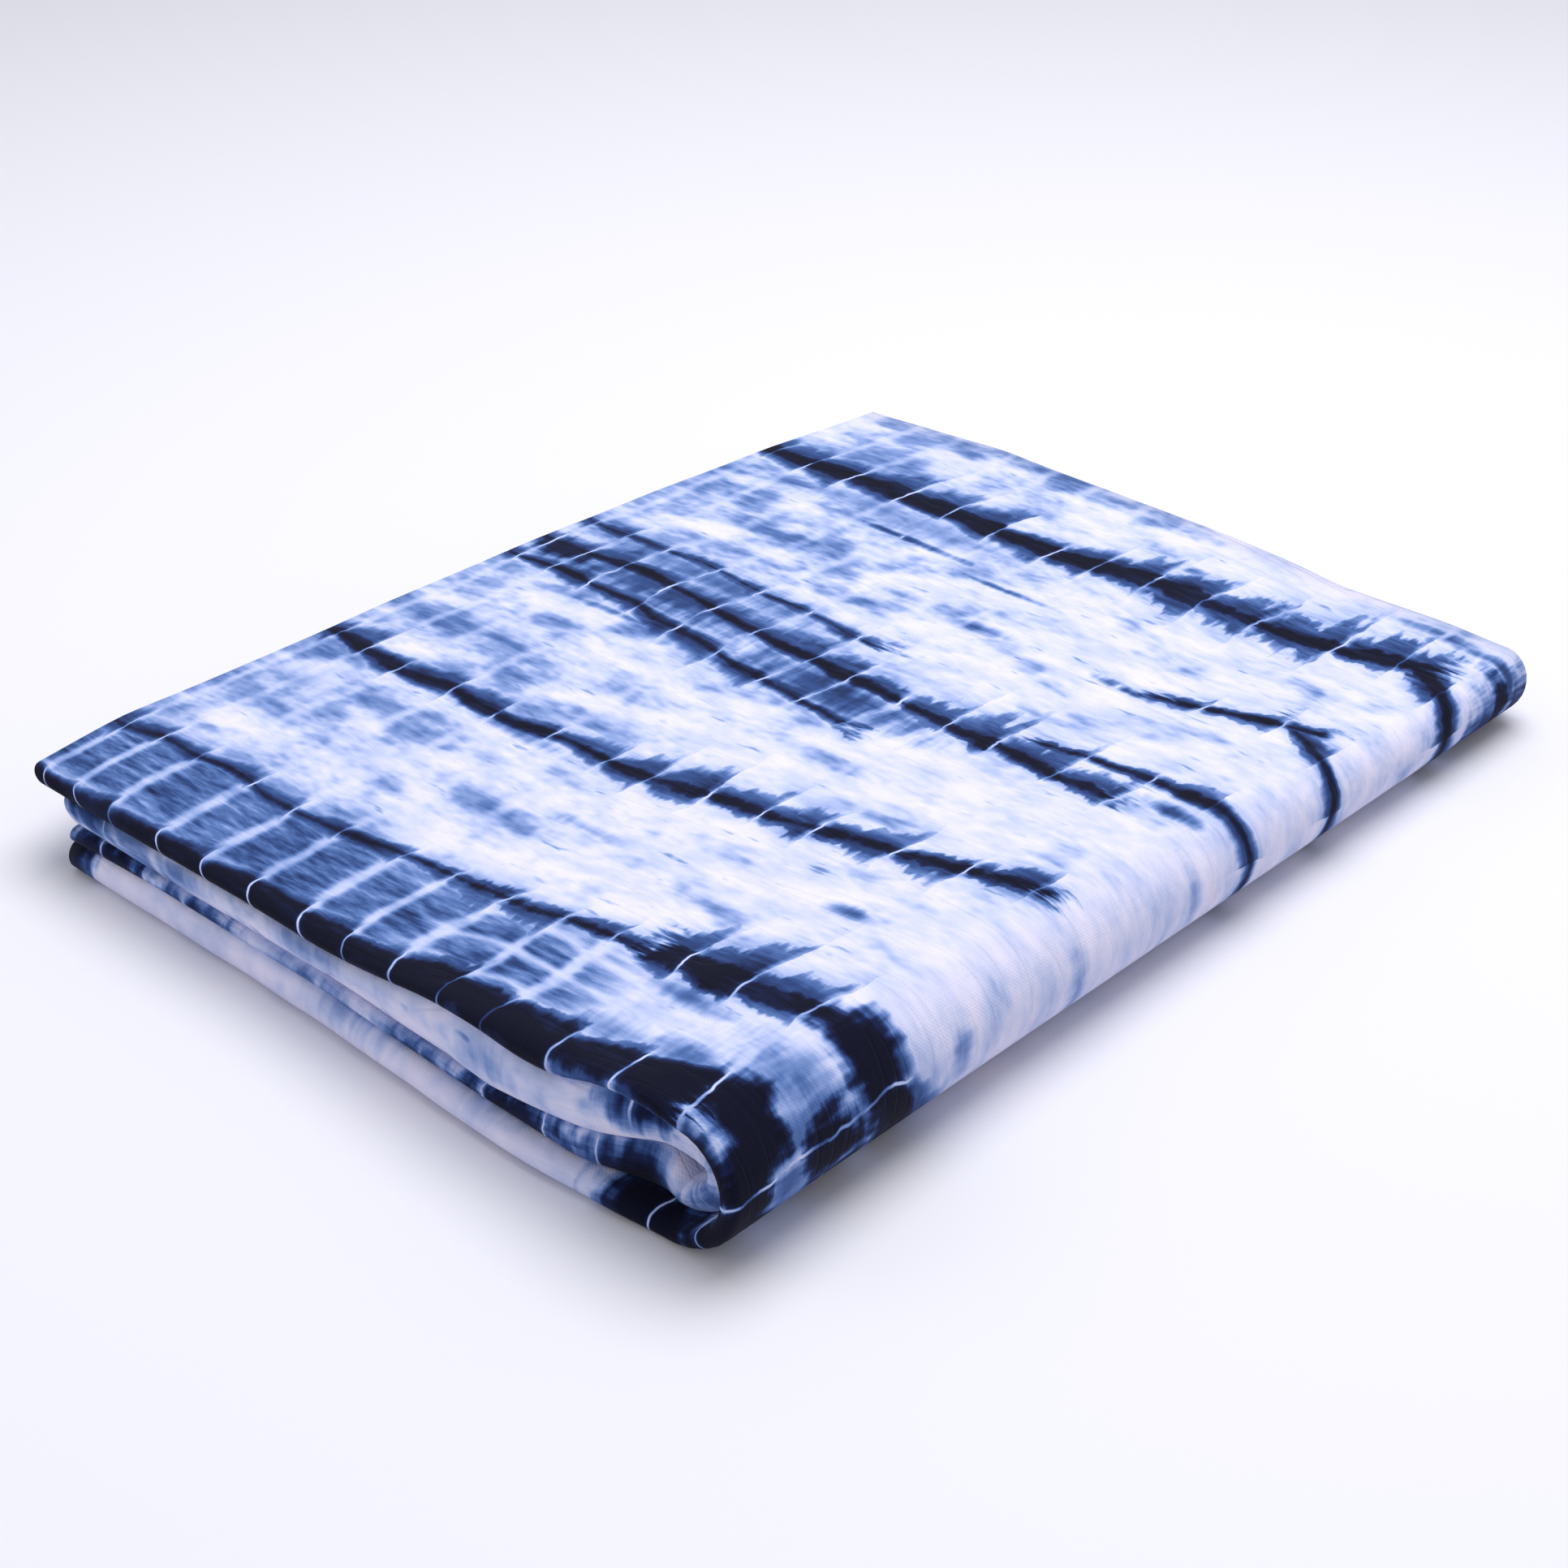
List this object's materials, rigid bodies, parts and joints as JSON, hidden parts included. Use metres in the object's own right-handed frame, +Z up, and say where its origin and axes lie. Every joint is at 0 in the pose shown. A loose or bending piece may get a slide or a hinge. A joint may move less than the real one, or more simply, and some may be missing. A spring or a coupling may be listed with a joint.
{
  "type": "folded shibori dyed cloth",
  "caption": "Length of indigo resist-dyed cotton cloth, pleated and folded into a flat packet with one big round fold, for shelves, tables and textile displays.",
  "frame": {"origin": "on the surface that the cloth lies on, under the middle of its box", "axes": "+X to the big round fold, -Y to the side where the pleats show, +Z up"},
  "size_m": [0.2177, 0.2872, 0.032],
  "materials": {
    "dyed_cotton": "soft matt plain weave, white cotton with indigo bands"
  },
  "bodies": {
    "root": {"folded_cloth": "dyed_cotton"}
  },
  "joints": []
}
